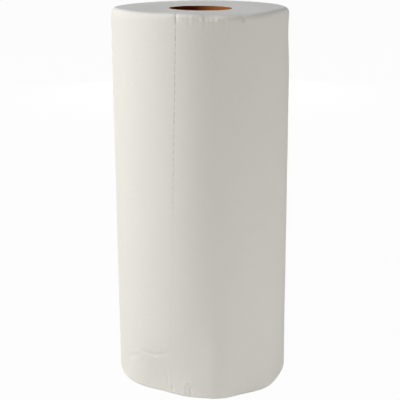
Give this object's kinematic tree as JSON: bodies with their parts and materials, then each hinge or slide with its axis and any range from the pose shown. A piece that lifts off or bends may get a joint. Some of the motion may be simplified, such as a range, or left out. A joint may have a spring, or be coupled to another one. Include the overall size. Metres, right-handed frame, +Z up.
{
  "type": "paper towel roll",
  "caption": "Upright roll of white embossed paper towel wound on a brown card core tube, with a dashed perforation line and a slightly squashed foot.",
  "frame": {"origin": "centre of the card tube's bore, in the end face that the roll stands on", "axes": "+Z up along the tube, -Y towards the front, where the leaning perforation line is, +X to the right seen from the front"},
  "size_m": [0.1296, 0.1321, 0.2794],
  "materials": {
    "towel_paper": "matte",
    "core_card": "matte"
  },
  "bodies": {
    "root": {"towel_roll": "towel_paper", "core_tube": "core_card"}
  },
  "joints": []
}
